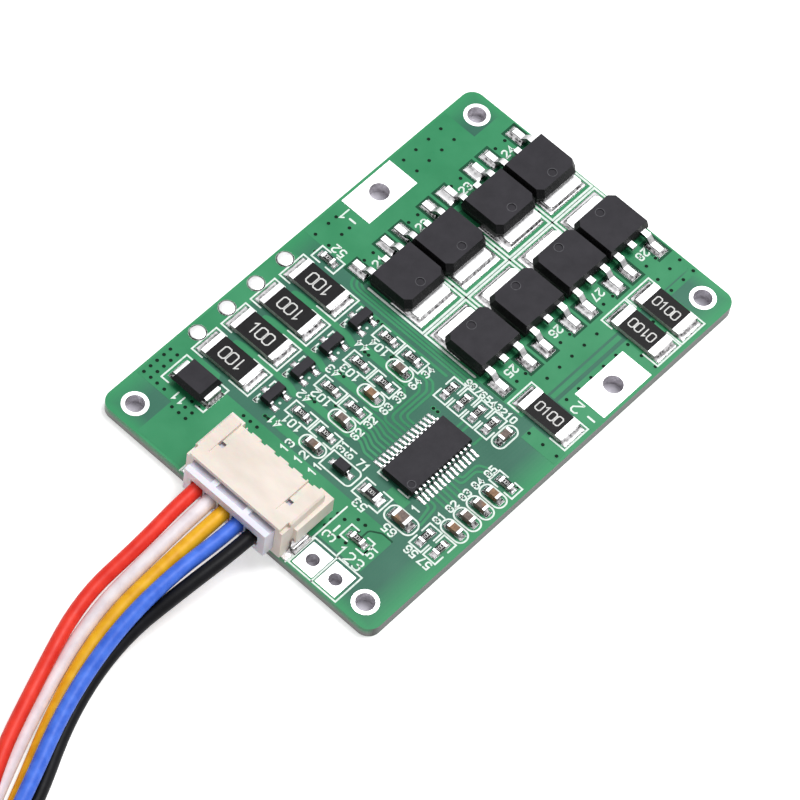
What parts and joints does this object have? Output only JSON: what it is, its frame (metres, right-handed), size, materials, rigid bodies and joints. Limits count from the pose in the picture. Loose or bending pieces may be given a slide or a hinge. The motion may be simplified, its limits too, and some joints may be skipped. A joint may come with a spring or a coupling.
{
  "type": "battery management board",
  "caption": "Flat green circuit board with two rows of tabbed power transistors, chip resistors, a control chip and a side-entry header whose plug carries five short wires.",
  "frame": {"origin": "middle of the board, on the plane of the lands on its underside that it rests on", "axes": "+X along the board away from the plug, +Y across it towards the balance resistors, +Z out of the populated side"},
  "size_m": [0.1223, 0.0576, 0.0071],
  "materials": {
    "solder_mask": "semi-gloss green mask over copper, with printed outlines",
    "solder_tin": "bright tinned copper lands",
    "tinned_lead": "tin-plated copper leads",
    "black_moulding": "dark moulded epoxy, fine satin grain",
    "resistor_glaze": "black overglaze on white ceramic",
    "capacitor_ceramic": "fired tan ceramic",
    "header_plastic": "warm ivory moulded plastic",
    "plug_plastic": "cool white moulded plastic",
    "contact_metal": "tin-plated contacts",
    "red_wire": "soft satin insulation",
    "white_wire": "soft satin insulation",
    "yellow_wire": "soft satin insulation",
    "blue_wire": "soft satin insulation",
    "black_wire": "soft satin insulation",
    "tinned_strand": "twisted tinned strands"
  },
  "bodies": {
    "root": {"balance_resistor_1_body": "resistor_glaze", "balance_resistor_1_ends": "tinned_lead", "balance_resistor_2_body": "resistor_glaze", "balance_resistor_2_ends": "tinned_lead", "balance_resistor_3_body": "resistor_glaze", "balance_resistor_3_ends": "tinned_lead", "balance_resistor_4_body": "resistor_glaze", "balance_resistor_4_ends": "tinned_lead", "board": "solder_mask", "channel_transistor_1_body": "black_moulding", "channel_transistor_2_body": "black_moulding", "channel_transistor_3_body": "black_moulding", "channel_transistor_4_body": "black_moulding", "channel_transistor_leads": "tinned_lead", "chip_capacitor_bodies": "capacitor_ceramic", "chip_capacitor_ends": "tinned_lead", "chip_resistor_bodies": "resistor_glaze", "chip_resistor_ends": "tinned_lead", "clamp_diode_body": "black_moulding", "clamp_diode_leads": "tinned_lead", "controller_body": "black_moulding", "controller_pins": "tinned_lead", "header_housing": "header_plastic", "header_pins": "tinned_lead", "header_tabs": "tinned_lead", "plated_holes": "solder_tin", "plug_contacts": "contact_metal", "plug_housing": "plug_plastic", "power_transistor_1_body": "black_moulding", "power_transistor_1_leads": "tinned_lead", "power_transistor_2_body": "black_moulding", "power_transistor_2_leads": "tinned_lead", "power_transistor_3_body": "black_moulding", "power_transistor_3_leads": "tinned_lead", "power_transistor_4_body": "black_moulding", "power_transistor_4_leads": "tinned_lead", "power_transistor_5_body": "black_moulding", "power_transistor_5_leads": "tinned_lead", "power_transistor_6_body": "black_moulding", "power_transistor_6_leads": "tinned_lead", "power_transistor_7_body": "black_moulding", "power_transistor_7_leads": "tinned_lead", "power_transistor_8_body": "black_moulding", "power_transistor_8_leads": "tinned_lead", "sense_resistor_1_body": "resistor_glaze", "sense_resistor_1_ends": "tinned_lead", "sense_resistor_2_body": "resistor_glaze", "sense_resistor_2_ends": "tinned_lead", "sense_resistor_3_body": "resistor_glaze", "sense_resistor_3_ends": "tinned_lead", "solder_lands": "solder_tin", "switching_diode_body": "black_moulding", "switching_diode_leads": "tinned_lead", "wire_black": "black_wire", "wire_blue": "blue_wire", "wire_coil": "white_wire", "wire_red": "red_wire", "wire_tips": "tinned_strand", "wire_white": "white_wire", "wire_yellow": "yellow_wire"}
  },
  "joints": []
}
